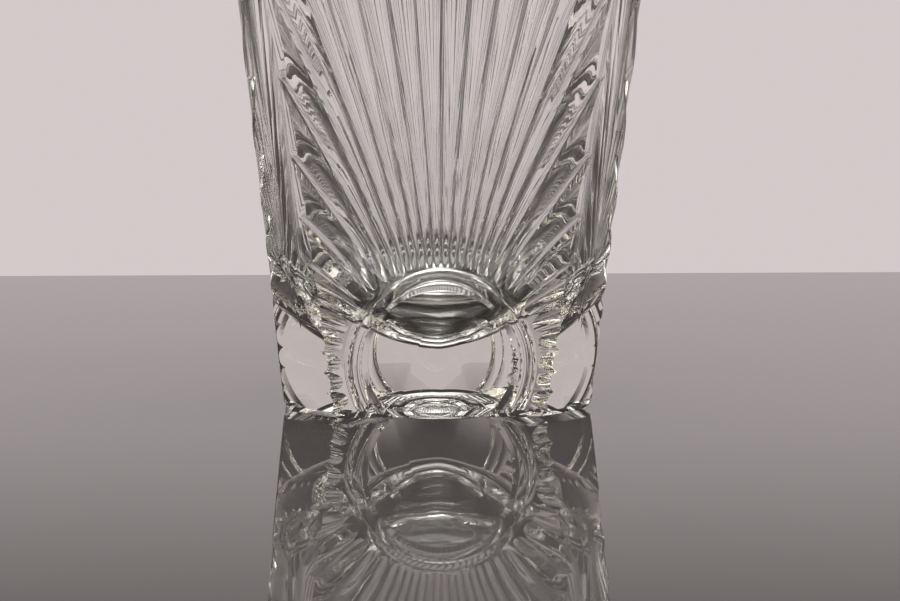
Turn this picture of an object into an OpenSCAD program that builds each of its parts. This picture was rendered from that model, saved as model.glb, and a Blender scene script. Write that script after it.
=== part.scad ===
// Square cut crystal vase that widens to the rim, with a rising sun cut into every side.
// Origin at the middle of the underside, +Z up. Millimetres.

/* [Body] */
// Height from the table to the rim
height = 250; // [200:5:280]
// Width across the flat sides at the foot
foot_w = 80; // [74:1:90]
// Width across the flat sides at the rim
rim_w = 132; // [124:1:144]
// Leg of the corner facet at the foot
foot_facet = 13; // [11:0.5:13.5]
// Leg of the corner facet at the rim
rim_facet = 6; // [4:0.5:9]
// Bevel around the foot
foot_bevel = 1.6; // [1:0.1:2.2]
// Bevel on both edges of the rim
rim_bevel = 1; // [0.6:0.1:1.6]
// Height of the plain band under the rim
rim_band_h = 14; // [10:1:20]

/* [Hollow] */
// Wall measured level at the foot
foot_wall = 9; // [8.5:0.5:10.5]
// Wall measured level at the rim
rim_wall = 6.5; // [6:0.5:8]
// Lowest point of the hollow above the table
floor_z = 17; // [15:0.5:20]
// Radius of the dished floor of the hollow
floor_dish_r = 60; // [58:1:70]
// Radius of the shallow hollow under the foot
punt_r = 21; // [16:0.5:23]
// Depth of the shallow hollow under the foot
punt_depth = 5.5; // [2:0.5:6]

/* [Sun] */
// Height of the middle of the sun disc, measured up the side
sun_rise = 14.4; // [13:0.2:17]
// Radius of the outer ring
ring_r = 25.2; // [23:0.2:26]
// Width of the outer ring
outer_ring_w = 2.4; // [1.8:0.1:2.8]
// Width of the inner ring
inner_ring_w = 2.6; // [2:0.1:3.2]
// Height of the outer ring above the side
ring_lift = 0.4; // [0.2:0.05:0.6]
// Drop from the outer ring to the inner ring
ring_step = 0.9; // [0.6:0.05:1.2]
// Drop from the inner ring to the disc
disc_step = 1.2; // [0.8:0.05:1.6]
// Thickness of the glass that carries the disc and rings
sun_back = 5; // [4:0.2:5.6]

/* [Rays] */
// Turn from one ray to the next near the upright one
upright_pitch = 4; // [3.6:0.1:4.6]
// Turn from one ray to the next at the sides of the sun
side_pitch = 10.5; // [9:0.5:12]
// Rays on each side that keep the narrow turn
close_rays = 5; // [4:1:6]
// Rays over which the turn widens
widening_rays = 6; // [5:1:7]
// Rays cut on each side of the upright one
rays_each_side = 15; // [12:1:15]
// Share of the pitch that a groove takes
groove_share = 0.62; // [0.45:0.01:0.7]
// Slope of a groove's flank from the side
flank_angle = 33; // [25:1:36]

/* [Hidden] */
$fn = 96;

// Shape of the leaning sides
widening = (rim_w - foot_w) / (2 * height);
lean = atan(widening);
foot_diagonal = sqrt(2) * (foot_w - foot_facet);
rim_diagonal = sqrt(2) * (rim_w - rim_facet);
corner_wall_gain = 1.05;
hollow_foot_w = foot_w - 2 * foot_wall;
hollow_rim_w = rim_w - 2 * rim_wall;
hollow_foot_diagonal = foot_diagonal - 2 * foot_wall * corner_wall_gain;
hollow_rim_diagonal = rim_diagonal - 2 * rim_wall * corner_wall_gain;
reach = 1.5 * rim_w;

// Faces where a panel meets its corner pillars, from the outer edge of the facet to the inner one
panel_foot_half = foot_w / 2 - foot_facet;
panel_rim_half = rim_w / 2 - rim_facet;
hollow_panel_foot_half = hollow_foot_diagonal / sqrt(2) - hollow_foot_w / 2;
joint_turn = atan2(panel_foot_half - hollow_panel_foot_half, foot_wall);
joint_foot = panel_foot_half * cos(joint_turn) - foot_w / 2 * sin(joint_turn);
joint_rim = panel_rim_half * cos(joint_turn) - rim_w / 2 * sin(joint_turn);
cut_z = height - rim_band_h;

// Middle of the sun disc on the front side
sun_z = sun_rise * cos(lean);
sun_y = -(foot_w / 2 + widening * sun_z);

// Foot block and its two dishes
block_h = 45;
punt_sphere_r = (punt_r * punt_r + punt_depth * punt_depth) / (2 * punt_depth);

// Groove section
groove_tool_h = 12;
groove_tool_w = groove_tool_h / tan(flank_angle);
groove_clear = 1;
ray_start_r = ring_r - 2;
first_corner_ray = 3;

// Turn between a ray and the next one outwards
function ray_pitch(i) =
    let (share = min(max((i - close_rays + 0.5) / widening_rays, 0), 1))
    upright_pitch + (side_pitch - upright_pitch) * share * share * (3 - 2 * share);

// Turn from the upright ray to another one
function ray_turn(i) =
    i == 0 ? 0 : sign(i) * (ray_turn(abs(i) - 1) + ray_pitch(abs(i) - 1));

// Tapering outline seen square on, from the table up, run through in depth
module plain_prism(low_w, high_w, tall) {
    rotate([90, 0, 0])
        linear_extrude(height = 2 * reach, center = true)
            polygon([
                [-low_w / 2, 0],
                [low_w / 2, 0],
                [high_w / 2, tall],
                [-high_w / 2, tall]
            ]);
}

// The same outline with its foot and rim edges bevelled
module bevelled_prism(low_w, high_w) {
    w_foot = low_w / 2;
    w_rim = high_w / 2;
    growth = (w_rim - w_foot) / height;
    rotate([90, 0, 0])
        linear_extrude(height = 2 * reach, center = true)
            polygon([
                [-w_foot + foot_bevel, 0],
                [w_foot - foot_bevel, 0],
                [w_foot + growth * foot_bevel, foot_bevel],
                [w_rim - growth * rim_bevel, height - rim_bevel],
                [w_rim - rim_bevel, height],
                [-w_rim + rim_bevel, height],
                [-w_rim + growth * rim_bevel, height - rim_bevel],
                [-w_foot - growth * foot_bevel, foot_bevel]
            ]);
}

// Eight-sided tapering body from two square-on outlines and two diagonal ones
module tapering_body(low_w, high_w, low_diagonal, high_diagonal, tall) {
    intersection() {
        plain_prism(low_w, high_w, tall);
        rotate([0, 0, 90])
            plain_prism(low_w, high_w, tall);
        rotate([0, 0, 45])
            plain_prism(low_diagonal, high_diagonal, tall);
        rotate([0, 0, 135])
            plain_prism(low_diagonal, high_diagonal, tall);
    }
}

module outer_body() {
    intersection() {
        bevelled_prism(foot_w, rim_w);
        rotate([0, 0, 90])
            bevelled_prism(foot_w, rim_w);
        rotate([0, 0, 45])
            bevelled_prism(foot_diagonal, rim_diagonal);
        rotate([0, 0, 135])
            bevelled_prism(foot_diagonal, rim_diagonal);
    }
}

// The hollow carried down to the table, so that walls and foot block share one face
module hollow_core() {
    tapering_body(hollow_foot_w, hollow_rim_w, hollow_foot_diagonal, hollow_rim_diagonal, height);
}

// Bevel on the mouth's inner edge
module mouth_flare() {
    grow = 2 * rim_bevel;
    translate([0, 0, height - rim_bevel])
        tapering_body(hollow_rim_w, hollow_rim_w + grow, hollow_rim_diagonal, hollow_rim_diagonal + grow, rim_bevel);
}

module wall_shell() {
    difference() {
        outer_body();
        hollow_core();
    }
}

// Keeps what lies between two heights
module level_band(low_z, high_z) {
    translate([-reach, -reach, low_z])
        cube([2 * reach, 2 * reach, high_z - low_z]);
}

// Room on one side of a joint face that runs from a facet's outer edge to its inner edge
module beside_joint_face() {
    rotate([0, 0, joint_turn])
        rotate([90, 0, 0])
            linear_extrude(height = 2 * reach, center = true)
                polygon([[-reach, 0], [joint_foot, 0], [joint_rim, height], [-reach, height]]);
}

// Room of the front panel, between the joint faces at its two corner facets
module panel_room() {
    intersection() {
        beside_joint_face();
        mirror([1, 0, 0])
            beside_joint_face();
    }
}

// Puts its children on the front side: local Z points out of the side, local Y up it
module on_front_side() {
    translate([0, sun_y, sun_z])
        rotate([90 + lean, 0, 0])
            children();
}

// One groove, kept inside its own share of the turn, that grows wider and deeper as it leaves the sun
module ray_groove(i) {
    pitch = ray_pitch(max(abs(i) - 1, 0));
    sink = atan(groove_share * tan(pitch / 2) * tan(flank_angle));
    far = height * 1.2;
    side = far * tan(pitch * 0.48);
    near_share = ray_start_r / far;
    rotate([0, 0, ray_turn(i)])
        intersection() {
            rotate([-90 - sink, 0, 0])
                linear_extrude(height = far)
                    polygon([[0, 0], [groove_tool_w, -groove_tool_h], [-groove_tool_w, -groove_tool_h]]);
            translate([0, 0, -groove_tool_h])
                linear_extrude(height = groove_tool_h + groove_clear)
                    polygon([
                        [-side * near_share, ray_start_r],
                        [side * near_share, ray_start_r],
                        [side, far],
                        [-side, far]
                    ]);
        }
}

module front_rays(first, last) {
    on_front_side()
        for (i = [first : last])
            ray_groove(i);
}

// Round seat that the sun disc and rings fill
module sun_seat() {
    on_front_side()
        translate([0, 0, -sun_back])
            cylinder(r = ring_r, h = sun_back * 2);
}

// Stepped section of the disc and its two rings, turned about the disc's own axis
module sun_section() {
    inner_ring_r = ring_r - outer_ring_w;
    disc_r = inner_ring_r - inner_ring_w;
    inner_ring_top = ring_lift - ring_step;
    disc_top = inner_ring_top - disc_step;
    soft = 0.35;
    rotate_extrude()
        polygon([
            [0, -sun_back],
            [ring_r, -sun_back],
            [ring_r, ring_lift - ring_step],
            [ring_r - soft, ring_lift],
            [inner_ring_r + soft, ring_lift],
            [inner_ring_r, ring_lift - soft],
            [inner_ring_r, inner_ring_top - soft],
            [inner_ring_r - soft, inner_ring_top],
            [disc_r + soft, inner_ring_top],
            [disc_r - disc_step, disc_top],
            [0, disc_top]
        ]);
}

module side_panel(turn) {
    rotate([0, 0, turn])
        difference() {
            intersection() {
                wall_shell();
                panel_room();
                level_band(0, cut_z);
            }
            sun_seat();
            front_rays(-rays_each_side, rays_each_side);
        }
}

module side_sun(turn) {
    rotate([0, 0, turn])
        intersection() {
            on_front_side()
                sun_section();
            translate([0, -ring_lift, 0])
                outer_body();
        }
}

module corner_pillar(turn) {
    rotate([0, 0, turn])
        difference() {
            intersection() {
                wall_shell();
                level_band(0, cut_z);
                translate([0, -reach, 0])
                    cube([reach, reach, height]);
            }
            panel_room();
            rotate([0, 0, 90])
                panel_room();
            front_rays(-rays_each_side, -first_corner_ray);
            rotate([0, 0, 90])
                front_rays(first_corner_ray, rays_each_side);
        }
}

module foot_block() {
    color("lightsteelblue")
        difference() {
            intersection() {
                hollow_core();
                level_band(0, block_h);
            }
            translate([0, 0, floor_z + floor_dish_r])
                sphere(r = floor_dish_r);
            translate([0, 0, punt_depth - punt_sphere_r])
                sphere(r = punt_sphere_r);
        }
}

module panel_front() {
    color("lightcyan")
        side_panel(0);
}

module panel_right() {
    color("azure")
        side_panel(90);
}

module panel_back() {
    color("lightcyan")
        side_panel(180);
}

module panel_left() {
    color("azure")
        side_panel(270);
}

module sun_front() {
    color("gold")
        side_sun(0);
}

module sun_right() {
    color("goldenrod")
        side_sun(90);
}

module sun_back_side() {
    color("gold")
        side_sun(180);
}

module sun_left() {
    color("goldenrod")
        side_sun(270);
}

module corner_front_right() {
    color("slategray")
        corner_pillar(0);
}

module corner_back_right() {
    color("lightslategray")
        corner_pillar(90);
}

module corner_back_left() {
    color("slategray")
        corner_pillar(180);
}

module corner_front_left() {
    color("lightslategray")
        corner_pillar(270);
}

module rim_band() {
    color("steelblue")
        difference() {
            intersection() {
                wall_shell();
                level_band(cut_z, height);
            }
            mouth_flare();
        }
}

foot_block();
panel_front();
panel_right();
panel_back();
panel_left();
sun_front();
sun_right();
sun_back_side();
sun_left();
corner_front_right();
corner_back_right();
corner_back_left();
corner_front_left();
rim_band();
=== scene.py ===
import math

import bmesh
import bpy
from mathutils import Matrix, Vector


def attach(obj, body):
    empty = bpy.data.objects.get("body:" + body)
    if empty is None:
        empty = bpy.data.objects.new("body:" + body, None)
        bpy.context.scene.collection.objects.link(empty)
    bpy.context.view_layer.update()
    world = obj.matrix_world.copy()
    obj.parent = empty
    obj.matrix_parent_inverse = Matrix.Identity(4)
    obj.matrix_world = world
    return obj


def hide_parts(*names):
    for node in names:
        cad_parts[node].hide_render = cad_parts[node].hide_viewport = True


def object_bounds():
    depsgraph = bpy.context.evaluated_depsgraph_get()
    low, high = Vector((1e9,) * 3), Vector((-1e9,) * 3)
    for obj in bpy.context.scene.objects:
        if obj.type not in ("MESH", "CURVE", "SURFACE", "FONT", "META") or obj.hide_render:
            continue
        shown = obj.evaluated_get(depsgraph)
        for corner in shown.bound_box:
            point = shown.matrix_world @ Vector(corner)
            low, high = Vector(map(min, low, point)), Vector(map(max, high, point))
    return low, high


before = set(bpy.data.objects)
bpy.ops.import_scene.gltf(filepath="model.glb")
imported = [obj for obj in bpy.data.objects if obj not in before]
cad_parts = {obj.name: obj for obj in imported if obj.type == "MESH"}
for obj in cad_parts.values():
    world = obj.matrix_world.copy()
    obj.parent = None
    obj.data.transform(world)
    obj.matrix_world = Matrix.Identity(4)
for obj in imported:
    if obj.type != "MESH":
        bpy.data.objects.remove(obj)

cadLow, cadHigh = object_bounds()
scene = bpy.context.scene
print("frame loaded")


class Wire:
    # wraps a socket, so that an expression on values adds its Math nodes
    def __init__(self, net, socket):
        self.net = net
        self.socket = socket

    def __add__(self, other):
        return self.net.maths("ADD", self, other)

    def __radd__(self, other):
        return self.net.maths("ADD", other, self)

    def __sub__(self, other):
        return self.net.maths("SUBTRACT", self, other)

    def __rsub__(self, other):
        return self.net.maths("SUBTRACT", other, self)

    def __mul__(self, other):
        return self.net.maths("MULTIPLY", self, other)

    def __rmul__(self, other):
        return self.net.maths("MULTIPLY", other, self)

    def __truediv__(self, other):
        return self.net.maths("DIVIDE", self, other)

    def __rtruediv__(self, other):
        return self.net.maths("DIVIDE", other, self)


class Net:
    # adds nodes to one tree
    def __init__(self, tree):
        self.tree = tree

    def plug(self, socket, value):
        if isinstance(value, Wire):
            self.tree.links.new(value.socket, socket)
        else:
            socket.default_value = value

    def add(self, kind, settings=None, *values, output=0, **named):
        # settings go first, values fill the inputs in their order, and a named value has _ for a space
        node = self.tree.nodes.new(kind)
        for name, value in (settings or {}).items():
            setattr(node, name, value)
        for socket, value in zip(node.inputs, values):
            self.plug(socket, value)
        for name, value in named.items():
            self.plug(node.inputs[name.replace("_", " ")], value)
        return Wire(self, node.outputs[output]) if node.outputs else node

    def maths(self, operation, *values):
        return self.add("ShaderNodeMath", {"operation": operation}, *values)

    def mixColours(self, share, one, two):
        # a Mix node has a set of sockets for each kind of data: 6, 7 and output 2 are the colours
        mixed = self.add("ShaderNodeMix", {"data_type": "RGBA"}, share, output=2)
        inputs = mixed.socket.node.inputs
        self.plug(inputs[6], one)
        self.plug(inputs[7], two)
        return mixed


def newMaterial(name):
    material = bpy.data.materials.new(name)
    material.use_nodes = True
    material.node_tree.nodes.clear()
    return material, Net(material.node_tree)


def tint(red, green, blue):
    return (red, green, blue, 1.0)


crystalLook = {
    "colour": tint(0.985, 0.985, 0.98), "dullColour": tint(0.965, 0.97, 0.968),
    "ior": 1.545,
    "polish": 0.004,            # lowest roughness
    "haze": 0.012,              # extra roughness in the dull patches
    "patchesPerMetre": 190.0, "patchDetail": 3.0,
    "waviness": 0.02, "waveHeight": 0.002,    # slow waves in the surface
    "wavesPerMetre": 55.0, "waveDetail": 1.0,
    "depthColour": tint(0.763, 0.738, 0.669), "absorption": 8.0,    # warm tint of the thick glass
}


def crystalMaterial():
    look = crystalLook
    material, net = newMaterial("crystal")
    place = net.add("ShaderNodeTexCoord", output=3)
    waves = net.add(
        "ShaderNodeTexNoise", Vector=place, Scale=look["wavesPerMetre"], Detail=look["waveDetail"],
    )
    patches = net.add(
        "ShaderNodeTexNoise", Vector=place, Scale=look["patchesPerMetre"], Detail=look["patchDetail"],
    )
    normal = net.add("ShaderNodeBump", Strength=look["waviness"], Distance=look["waveHeight"], Height=waves)
    surface = net.add(
        "ShaderNodeBsdfPrincipled", IOR=look["ior"], Transmission_Weight=1.0, Normal=normal,
        Base_Color=net.mixColours(patches, look["colour"], look["dullColour"]),
        Roughness=look["polish"] + look["haze"] * patches,
    )
    inside = net.add("ShaderNodeVolumeAbsorption", Color=look["depthColour"], Density=look["absorption"])
    net.add("ShaderNodeOutputMaterial", Surface=surface, Volume=inside)
    return material


body = {
    "footHalf": 0.040,        # half the width across the flat sides at the foot
    "footFacet": 0.013,       # leg of the corner facet at the foot
    "rimFacet": 0.006,        # leg of the corner facet at the rim
    "footBevel": 0.0016,
    "rimRound": 0.001, "rimSteps": 3,    # radius of the rim's rounded edges, and the steps in it
    "bandHeight": 0.014,      # plain band under the rim
    "bandSlope": 1.1,         # slope at which the grooves run out under the band
    "sharpTurn": 24,          # degrees between two faces from which their edge is sharp
}
sun = {
    "rise": 0.0144,           # middle of the sun above the table, measured up the side
    "uprightPitch": 4.0,      # degrees from one groove to the next near the upright one
    "sidePitch": 10.5,        # and at the sides
    "closeRays": 5, "wideningRays": 6,   # grooves at the narrow pitch, and those over which it widens
    "stepsPerRay": 10,
    "grooveDepth": 0.0175,    # depth of a narrow groove for each metre from the middle
    "fullDepthReach": 0.115,  # from here outwards a groove grows no deeper
    "crownPower": 3.0,        # how full the ribs between the grooves are
    "rayReach": 0.30,
    "rimSlope": 0.45,         # outer slope of the outer ring, where the rays begin
    # radius and height of the turned section, from the disc's edge out to the outer ring, in millimetres
    "section": [
        (18.50, -1.75), (18.78, -1.68), (18.98, -1.50), (20.00, -0.62), (20.20, -0.49), (20.50, -0.42),
        (20.80, -0.39), (21.20, -0.38), (21.70, -0.42), (22.20, -0.53), (22.50, -0.62), (22.68, -0.40),
        (22.84, 0.05), (23.05, 0.24), (23.50, 0.37), (24.00, 0.40), (24.50, 0.37), (24.85, 0.27),
    ],
}
hollow = {
    "footWall": 0.009, "rimWall": 0.0065,
    "lowCorner": 0.016, "highCorner": 0.010,  # corner radius of the hollow at the table and at the rim
    "bottom": 0.017,          # lowest point of the hollow
    "bowlHeight": 0.027,      # from there to where the rounded bottom meets the walls
    "flatSteps": 6, "cornerSteps": 9, "bowlRows": 30, "wallRows": 8,
}
punt = {"radius": 0.021, "depth": 0.0055, "rows": 14, "steps": 14}   # shallow dish under the foot

weldDistance = 3e-6      # points closer than this become one
onPlaneDistance = 2e-6   # a point this close to a plane counts as on it
cutTolerance = 1e-7
shortestEdge = 1e-6      # shorter ones are removed
eighthTurn = math.radians(45)

height = cadHigh.z
root2 = math.sqrt(2)
widening = (cadHigh.x - body["footHalf"]) / (height - body["rimRound"])
lean = math.atan(widening)
rimHalf = body["footHalf"] + widening * height
footDiagonal = (2 * body["footHalf"] - body["footFacet"]) / root2
rimDiagonal = (2 * rimHalf - body["rimFacet"]) / root2
diagonalWidening = (rimDiagonal - footDiagonal) / height
rimStart = height - body["rimRound"]

# frame of the front side: across it, up it and out of it
across = Vector((1, 0, 0))
up = Vector((0, -math.sin(lean), math.cos(lean)))
out = Vector((0, -math.cos(lean), -math.sin(lean)))
sunHeight = sun["rise"] * math.cos(lean)
sunMiddle = Vector((0, -(body["footHalf"] + widening * sunHeight), sunHeight))
bandUp = (height - body["bandHeight"] - sunHeight) / math.cos(lean)
turnedSection = [(radius / 1000, lift / 1000) for radius, lift in sun["section"]]


def onSide(x, y, lift):
    return sunMiddle + across * x + up * y + out * lift


class Plane:
    # a cutting plane that keeps what lies below its offset along its normal
    def __init__(self, normal, offset):
        self.normal = Vector(normal)
        self.offset = offset / self.normal.length
        self.normal.normalize()

    def distance(self, point):
        return self.normal.dot(point) - self.offset

    def cut(self, mesh):
        everything = mesh.verts[:] + mesh.edges[:] + mesh.faces[:]
        bmesh.ops.bisect_plane(
            mesh, geom=everything, dist=cutTolerance, plane_co=self.normal * self.offset,
            plane_no=self.normal, clear_outer=True,
        )

    def chain(self, mesh, start):
        # open edge on this plane as a row of points, from the end nearest to start
        near = {}
        for edge in mesh.edges:
            if edge.is_boundary and all(abs(self.distance(v.co)) < onPlaneDistance for v in edge.verts):
                one, two = edge.verts
                near.setdefault(one, []).append(two)
                near.setdefault(two, []).append(one)
        ends = [v for v in near if len(near[v]) == 1]
        here = min(ends, key=lambda v: (v.co - start).length)
        points, seen = [], set()
        while here is not None:
            points.append(here.co.copy())
            seen.add(here)
            here = next((v for v in near[here] if v not in seen), None)
        return points


facetCut = Plane((1 / root2, -1 / root2, -diagonalWidening), footDiagonal)
frontBevelCut = Plane((0, -1, -1 - widening), body["footHalf"] - body["footBevel"])
facetBevelCut = Plane((1 / root2, -1 / root2, -1 - diagonalWidening), footDiagonal - body["footBevel"])
undersideCut = Plane((0, 0, -1), 0)
slopeNormal = body["bandSlope"] * up - out
bandCut = Plane(slopeNormal, slopeNormal.dot(sunMiddle) + body["bandSlope"] * bandUp)


def rayTurns():
    # turn of every groove from the upright one down to the foot, in degrees
    turns = [0.0]
    while turns[-1] < 180:
        share = min(max((len(turns) - 0.5 - sun["closeRays"]) / sun["wideningRays"], 0), 1)
        share = share * share * (3 - 2 * share)
        turns.append(turns[-1] + sun["uprightPitch"] + (sun["sidePitch"] - sun["uprightPitch"]) * share)
    return turns[:-1] + [180.0]


def rayNet():
    # flat net of half a side: a column for each turn, and a row for each point of the section and the rays
    turns = rayTurns()
    last = len(turnedSection) - 1
    rows = last + 4      # past the section a ray starts, reaches its full depth and ends
    columns = []         # turn, how near the groove's valley, and how wide the groove is
    for near, far in zip(turns, turns[1:]):
        for step in range(sun["stepsPerRay"]):
            share = step / sun["stepsPerRay"]
            spread = (far - near) / sun["uprightPitch"]
            columns.append((near + (far - near) * share, abs(2 * share - 1), spread))
    columns.append((180.0, 1.0, 1.0))
    table = {name: [] for name in ("turn", "edge", "spread", "radius", "lift", "along")}
    for turn, edge, spread in columns:
        for row in range(rows):
            radius, lift = turnedSection[min(row, last)]
            along = max(row - last, 0)
            for name, value in zip(table, (math.radians(turn), edge, spread, radius, lift, along)):
                table[name].append(value)
    faces = []
    for column in range(len(columns) - 1):
        for row in range(rows - 1):
            a = column * rows + row
            faces.append((a, a + rows, a + rows + 1, a + 1))
    faces.append([column * rows for column in range(len(columns))])    # the disc
    mesh = bpy.data.meshes.new("rayNet")
    mesh.from_pydata([(t, r, 0) for t, r in zip(table["turn"], table["radius"])], [], faces)
    for name, values in table.items():
        mesh.attributes.new(name, "FLOAT", "POINT").data.foreach_set("value", values)
    net = bpy.data.objects.new("rayNet", mesh)
    scene.collection.objects.link(net)
    return net


def rayTree():
    # nodes that bend the flat net into the disc, its rings and the rays
    tree = bpy.data.node_groups.new("raysRoundTheSun", "GeometryNodeTree")
    ports = tree.interface
    ports.new_socket("Net", in_out="INPUT", socket_type="NodeSocketGeometry")
    for label in ("Groove Depth", "Crown Power", "Ring Slope", "Ring Radius", "Ring Lift",
                  "Full Depth Reach", "Ray Reach"):
        ports.new_socket(label, in_out="INPUT", socket_type="NodeSocketFloat")
    ports.new_socket("Crystal", in_out="INPUT", socket_type="NodeSocketMaterial")
    ports.new_socket("Geometry", in_out="OUTPUT", socket_type="NodeSocketGeometry")
    net = Net(tree)
    given = tree.nodes.new("NodeGroupInput")
    flat, depth, power, slope, ringRadius, ringLift, knee, reach, crystal = (
        Wire(net, port) for port in given.outputs[:-1]
    )

    def stored(name):
        return net.add("GeometryNodeInputNamedAttribute", {"data_type": "FLOAT"}, name)

    turn, along = stored("turn"), stored("along")
    sink = depth * stored("spread") * net.maths("POWER", stored("edge"), power)
    onRays = net.maths("MINIMUM", along, 1.0)
    pastStart = net.maths("MINIMUM", net.maths("MAXIMUM", along - 1.0, 0.0), 1.0)
    pastKnee = net.maths("MAXIMUM", along - 2.0, 0.0)
    start = (ringLift + slope * ringRadius) / (slope - sink)    # where the ring's slope meets the groove
    depthRadius = start * (1.0 - pastStart) + knee * pastStart
    rayRadius = depthRadius + (reach - knee) * pastKnee
    radius = stored("radius") * (1.0 - onRays) + rayRadius * onRays
    lift = stored("lift") * (1.0 - onRays) - sink * depthRadius * onRays
    x, y = radius * net.maths("SINE", turn), radius * net.maths("COSINE", turn)
    place = net.add("ShaderNodeCombineXYZ", None, x, y, lift)
    shaped = net.add("GeometryNodeSetPosition", Geometry=flat, Position=place)
    solid = net.add("GeometryNodeRealizeInstances", Geometry=shaped)
    finished = net.add("GeometryNodeSetMaterial", Geometry=solid, Material=crystal)
    result = tree.nodes.new("NodeGroupOutput")
    net.plug(result.inputs[0], finished)
    return tree


def inputName(tree, label):
    return next(item.identifier for item in tree.interface.items_tree if item.name == label)


def cutSide(crystal):
    # half of the front side, from its middle to the corner facet
    net = rayNet()
    tree = rayTree()
    modifier = net.modifiers.new("rays", "NODES")
    modifier.node_group = tree
    ringRadius, ringLift = turnedSection[-1]
    settings = {
        "Groove Depth": sun["grooveDepth"], "Crown Power": sun["crownPower"], "Ring Slope": sun["rimSlope"],
        "Ring Radius": ringRadius, "Ring Lift": ringLift,
        "Full Depth Reach": sun["fullDepthReach"], "Ray Reach": sun["rayReach"],
        "Crystal": crystal,
    }
    for label, value in settings.items():
        modifier[inputName(tree, label)] = value
    graph = bpy.context.evaluated_depsgraph_get()
    shaped = bpy.data.meshes.new_from_object(net.evaluated_get(graph))
    net.modifiers.remove(modifier)
    bpy.data.objects.remove(net)
    side = bmesh.new()
    side.from_mesh(shaped)
    for v in side.verts:
        v.co = onSide(*v.co)
    for plane in (facetCut, frontBevelCut, facetBevelCut, undersideCut, bandCut):
        plane.cut(side)
    bmesh.ops.remove_doubles(side, verts=side.verts, dist=weldDistance)
    return side


class Skin:
    # adds faces to a mesh and leaves out points that fall on each other
    def __init__(self, mesh):
        self.mesh = mesh

    def face(self, points):
        kept = [points[0]]
        for point in points[1:]:
            if (point - kept[-1]).length > weldDistance:
                kept.append(point)
        if (kept[0] - kept[-1]).length <= weldDistance:
            kept.pop()
        if len(kept) > 2:
            self.mesh.faces.new([self.mesh.verts.new(point) for point in kept])

    def fan(self, middle, row):
        for one, two in zip(row, row[1:]):
            self.face([middle, one, two])

    def strip(self, lower, upper):
        for i in range(len(lower) - 1):
            self.face([lower[i], lower[i + 1], upper[i + 1], upper[i]])


def outlinePoints(z, inset):
    # middle of the front, corner between front and facet, middle of the facet
    front = body["footHalf"] + widening * z - inset
    diagonal = footDiagonal + diagonalWidening * z - inset
    return [
        Vector((0, -front, z)),
        Vector((root2 * diagonal - front, -front, z)),
        Vector((diagonal / root2, -diagonal / root2, z)),
    ]


def closeFront(skin, bevelEdge, facetBevelEdge, facetEdge, bandEdge):
    # bevels round the foot, then the corner facet, the run-out under the band and the band
    footCorner = outlinePoints(0, body["footBevel"])
    bevelTop = outlinePoints(body["footBevel"], 0)
    skin.face(bevelEdge + [footCorner[1]])
    skin.face(facetBevelEdge + [bevelTop[2], footCorner[2], footCorner[1]])
    rimLine = outlinePoints(rimStart, 0)
    bandMiddle = onSide(0, bandUp, 0)
    bandCorner = outlinePoints(bandMiddle.z, 0)[1]
    skin.face(facetEdge + [bandCorner, rimLine[1], rimLine[2], bevelTop[2]])
    skin.face(bandEdge + [bandMiddle, bandCorner])
    skin.face([bandMiddle, bandCorner, rimLine[1], rimLine[0]])


def rimRounding():
    # height above the start of the rounding, and how far the wall has drawn in there
    steps = body["rimSteps"]
    angles = [math.radians(90) * (i + 1) / steps for i in range(steps)]
    return [(body["rimRound"] * math.sin(a), body["rimRound"] * (1 - math.cos(a))) for a in angles]


def closeRim(skin, mouth):
    line = outlinePoints(rimStart, 0)
    for rise, drawnIn in rimRounding():
        nextLine = outlinePoints(rimStart + rise, drawnIn + rise * widening)
        skin.strip(line, nextLine)
        line = nextLine
    skin.face(line + mouth[::-1])


def hollowOutline(half, corner):
    straight = half - corner
    flats, turns = hollow["flatSteps"], hollow["cornerSteps"]
    points = [Vector((straight * i / flats, -half)) for i in range(flats)]
    for i in range(turns + 1):
        angle = eighthTurn * i / turns
        points.append(Vector((straight + corner * math.sin(angle), -straight - corner * math.cos(angle))))
    return points


def hollowHalf(z):
    low = body["footHalf"] - hollow["footWall"]
    high = rimHalf - hollow["rimWall"]
    return low + (high - low) * z / height


def hollowCorner(z):
    return hollow["lowCorner"] + (hollow["highCorner"] - hollow["lowCorner"]) * z / height


def hollowRows():
    # outlines from the middle of the rounded bottom to the top of the wall
    foot = hollow["bottom"] + hollow["bowlHeight"]
    rows = []
    for i in range(1, hollow["bowlRows"] + 1):
        angle = math.radians(90) * i / hollow["bowlRows"]
        z = foot - hollow["bowlHeight"] * math.cos(angle)
        half = hollowHalf(z)
        row = []
        for p in hollowOutline(half, hollowCorner(z)):
            # round near the middle, square with round corners at the walls
            reach = half + (p.length - half) * math.sin(angle) ** 2
            p = p * (math.sin(angle) * reach / p.length)
            row.append(Vector((p.x, p.y, z)))
        rows.append(row)
    for i in range(1, hollow["wallRows"] + 1):
        z = foot + (rimStart - foot) * i / hollow["wallRows"]
        rows.append([Vector((p.x, p.y, z)) for p in hollowOutline(hollowHalf(z), hollowCorner(z))])
    for rise, grown in rimRounding():
        ring = hollowOutline(hollowHalf(rimStart) + grown, hollowCorner(rimStart) + grown)
        rows.append([Vector((p.x, p.y, rimStart + rise)) for p in ring])
    return rows


def closeHollow(skin, rows):
    skin.fan(Vector((0, 0, hollow["bottom"])), rows[0])
    for lower, upper in zip(rows, rows[1:]):
        skin.strip(lower, upper)


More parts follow.
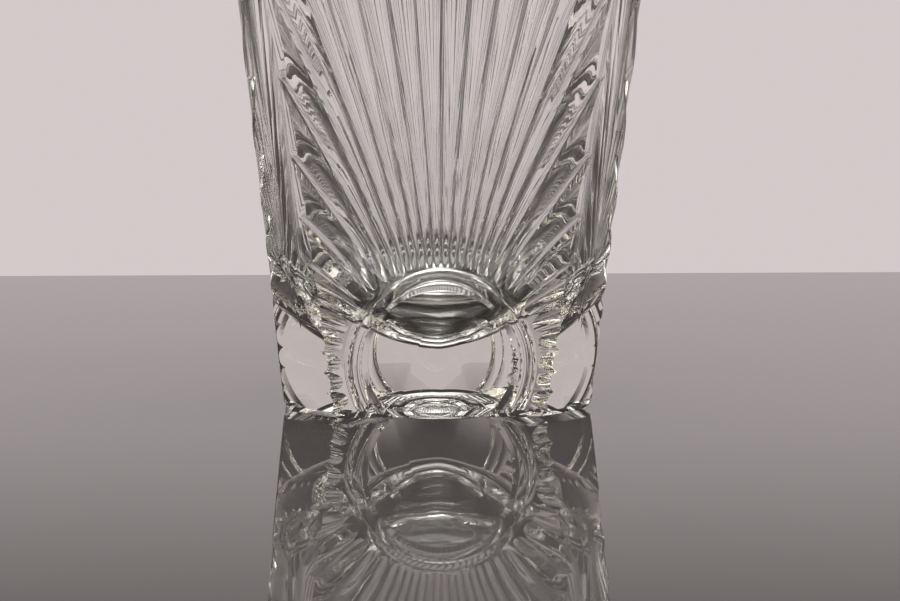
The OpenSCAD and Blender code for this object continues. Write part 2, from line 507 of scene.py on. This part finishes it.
def closeUnderside(skin, undersideEdge):
    # the dish and the flat face round it
    radius, depth = punt["radius"], punt["depth"]
    ball = (radius ** 2 + depth ** 2) / (2 * depth)
    angles = [eighthTurn * i / punt["steps"] for i in range(punt["steps"] + 1)]
    rings = []
    for row in range(1, punt["rows"] + 1):
        r = radius * row / punt["rows"]
        z = max(depth - ball + math.sqrt(ball ** 2 - r ** 2), 0)
        rings.append([Vector((r * math.sin(a), -r * math.cos(a), z)) for a in angles])
    skin.fan(Vector((0, 0, depth)), rings[0])
    for inner, outer in zip(rings, rings[1:]):
        skin.strip(inner, outer)
    skin.face(undersideEdge + outlinePoints(0, body["footBevel"])[1:] + rings[-1][::-1])


def eighth(crystal):
    # from the middle of the front to the middle of a corner facet
    side = cutSide(crystal)
    middle = Vector((0, 0, 0))
    undersideEdge = undersideCut.chain(side, middle)
    bevelEdge = frontBevelCut.chain(side, middle)
    facetBevelEdge = facetBevelCut.chain(side, bevelEdge[-1])
    facetEdge = facetCut.chain(side, bevelEdge[-1])
    bandEdge = bandCut.chain(side, facetEdge[-1])
    rows = hollowRows()
    skin = Skin(side)
    closeFront(skin, bevelEdge, facetBevelEdge, facetEdge, bandEdge)
    closeRim(skin, rows[-1])
    closeHollow(skin, rows)
    closeUnderside(skin, undersideEdge)
    bmesh.ops.remove_doubles(side, verts=side.verts, dist=weldDistance)
    return side


def makeVase():
    crystal = crystalMaterial()
    piece = eighth(crystal)
    part = bpy.data.meshes.new("eighth")
    piece.to_mesh(part)
    piece.free()
    whole = bmesh.new()
    mirror = Matrix.Scale(-1, 4, Vector((1, 0, 0)))
    for quarter in range(4):
        turned = Matrix.Rotation(math.radians(90) * quarter, 4, "Z")
        for place in (turned, turned @ mirror):
            copy = part.copy()
            copy.transform(place)
            whole.from_mesh(copy)
            bpy.data.meshes.remove(copy)
    bpy.data.meshes.remove(part)
    bmesh.ops.remove_doubles(whole, verts=whole.verts, dist=weldDistance)
    bmesh.ops.dissolve_degenerate(whole, edges=whole.edges, dist=shortestEdge)
    bmesh.ops.recalc_face_normals(whole, faces=whole.faces)
    openEdges = [edge for edge in whole.edges if len(edge.link_faces) != 2]
    print("vase: faces", len(whole.faces), "open edges", len(openEdges))
    mesh = bpy.data.meshes.new("crystal_vase")
    whole.to_mesh(mesh)
    whole.free()
    mesh.materials.clear()
    mesh.materials.append(crystal)
    mesh.polygons.foreach_set("use_smooth", [True] * len(mesh.polygons))
    mesh.set_sharp_from_angle(angle=math.radians(body["sharpTurn"]))
    vase = bpy.data.objects.new("crystal_vase", mesh)
    scene.collection.objects.link(vase)
    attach(vase, "root")
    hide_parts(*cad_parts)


makeVase()
print("vase made")


stage = {
    "tableHalf": 0.34, "tableThick": 0.03, "tableGap": 0.0001,    # gap between the vase and the table
    "tableColour": tint(0.085, 0.077, 0.075), "tableShade": 0.86, "cloudsPerMetre": 6.0, "cloudDetail": 5.0,
    "tableRoughness": 0.012, "tableIor": 1.5,
    "floorDrop": 0.32, "floorRadius": 3.2, "floorSides": 64,
    "floorColour": tint(0.80, 0.723, 0.729), "floorRoughness": 0.9,
}


def stageObject(name, points, faces, material):
    mesh = bpy.data.meshes.new(name)
    mesh.from_pydata(points, [], faces)
    mesh.materials.append(material)
    thing = bpy.data.objects.new(name, mesh)
    scene.collection.objects.link(thing)


def makeTable():
    material, net = newMaterial("polishedTable")
    place = net.add("ShaderNodeTexCoord", output=3)
    clouds = net.add(
        "ShaderNodeTexNoise", Vector=place, Scale=stage["cloudsPerMetre"], Detail=stage["cloudDetail"],
    )
    colour = stage["tableColour"]
    darker = tint(*[part * stage["tableShade"] for part in colour[:3]])
    surface = net.add(
        "ShaderNodeBsdfPrincipled", Base_Color=net.mixColours(clouds, colour, darker),
        Roughness=stage["tableRoughness"], IOR=stage["tableIor"],
    )
    net.add("ShaderNodeOutputMaterial", Surface=surface)
    half = stage["tableHalf"]
    corners = ((-half, -half), (half, -half), (half, half), (-half, half))
    points = [(x, y, -drop) for drop in (stage["tableGap"], stage["tableThick"]) for x, y in corners]
    faces = [(0, 1, 2, 3), (7, 6, 5, 4), (0, 4, 5, 1), (1, 5, 6, 2), (2, 6, 7, 3), (3, 7, 4, 0)]
    stageObject("table", points, faces, material)


def makeFloor():
    material, net = newMaterial("paleFloor")
    surface = net.add(
        "ShaderNodeBsdfPrincipled", Base_Color=stage["floorColour"], Roughness=stage["floorRoughness"],
    )
    net.add("ShaderNodeOutputMaterial", Surface=surface)
    sides, radius, drop = stage["floorSides"], stage["floorRadius"], stage["floorDrop"]
    turns = [2 * math.pi * i / sides for i in range(sides)]
    points = [(0, 0, -drop)] + [(radius * math.cos(t), radius * math.sin(t), -drop) for t in turns]
    faces = [(0, 1 + i, 1 + (i + 1) % sides) for i in range(sides)]
    stageObject("floor", points, faces, material)


makeTable()
makeFloor()
print("stage made")


light = {
    "horizon": tint(0.80, 0.723, 0.729), "horizonPower": 0.75,
    "dark": tint(1.0, 0.92, 0.93), "darkPower": 0.05,
    "overhead": tint(1.0, 0.975, 0.95), "overheadPower": 1.6,
    "paleEdge": (-0.56, -0.36),      # where the pale panels begin, in cosines of four times the turn
    "lowPale": (-0.13, -0.15),       # sines of the fall below which every direction is pale
    "paleTop": (0.14, 0.30),         # sines of the rise where the pale panels fade out
    "overheadEdge": (0.64, 0.79),    # sines of the rise where the overhead light begins
    "boxPlace": (0.15, -0.25, 1.5), "boxSize": (0.8, 0.5), "boxWatts": 8, "boxColour": (1, 0.98, 0.96),
}


def makeWorld():
    # pale panels on four sides with dark gaps between them, and a bright ceiling
    world = bpy.data.worlds.new("studio")
    scene.world = world
    world.use_nodes = True
    world.node_tree.nodes.clear()
    net = Net(world.node_tree)
    direction = net.add("ShaderNodeTexCoord")
    parts = net.add("ShaderNodeSeparateXYZ", Vector=direction).socket.node
    x, y, z = (Wire(net, port) for port in parts.outputs)

    def ramp(value, edges):
        return net.add("ShaderNodeMapRange", {"interpolation_type": "SMOOTHSTEP"}, value, *edges, 0.0, 1.0)

    share = x * x / (x * x + y * y + 0.0001)           # the last number keeps it finite straight up
    four = 8.0 * share * share - 8.0 * share + 1.0     # cosine of four times the turn
    panels = net.maths("MAXIMUM", ramp(four, light["paleEdge"]), ramp(z, light["lowPale"]))
    pale = panels * (1.0 - ramp(z, light["paleTop"]))
    overhead = ramp(z, light["overheadEdge"])
    glow = net.add("ShaderNodeBackground", Color=light["dark"], Strength=light["darkPower"])
    for colour, power in ((light["horizon"], light["horizonPower"] * pale),
                          (light["overhead"], light["overheadPower"] * overhead)):
        more = net.add("ShaderNodeBackground", Color=colour, Strength=power)
        glow = net.add("ShaderNodeAddShader", None, glow, more)
    net.add("ShaderNodeOutputWorld", Surface=glow)


def makeSoftbox():
    lamp = bpy.data.lights.new("softboxTop", "AREA")
    lamp.shape = "RECTANGLE"
    lamp.size, lamp.size_y = light["boxSize"]
    lamp.energy = light["boxWatts"]
    lamp.color = light["boxColour"]
    box = bpy.data.objects.new("softboxTop", lamp)
    box.location = light["boxPlace"]
    box.rotation_euler = (-box.location).to_track_quat("-Z", "Y").to_euler()
    scene.collection.objects.link(box)


makeWorld()
makeSoftbox()
print("lights made")


view = {
    "aim": (0.0043, 0.0, 0.026), "distance": 0.68, "elevation": 6.2, "turn": -2.6,
    "lens": 100, "sensor": 36, "clip": (0.01, 20),
}
bounces = {"max_bounces": 24, "transmission_bounces": 20, "glossy_bounces": 12}


def makeCamera():
    data = bpy.data.cameras.new("camera")
    data.lens = view["lens"]
    data.sensor_width = view["sensor"]
    data.clip_start, data.clip_end = view["clip"]
    camera = bpy.data.objects.new("camera", data)
    rise, turn = math.radians(view["elevation"]), math.radians(view["turn"])
    back = Vector((math.sin(turn) * math.cos(rise), -math.cos(turn) * math.cos(rise), math.sin(rise)))
    camera.location = Vector(view["aim"]) + back * view["distance"]
    camera.rotation_euler = (-back).to_track_quat("-Z", "Y").to_euler()
    scene.collection.objects.link(camera)
    scene.camera = camera


makeCamera()
scene.view_settings.view_transform = "Standard"
for name, count in bounces.items():
    setattr(scene.cycles, name, count)
print("camera made")
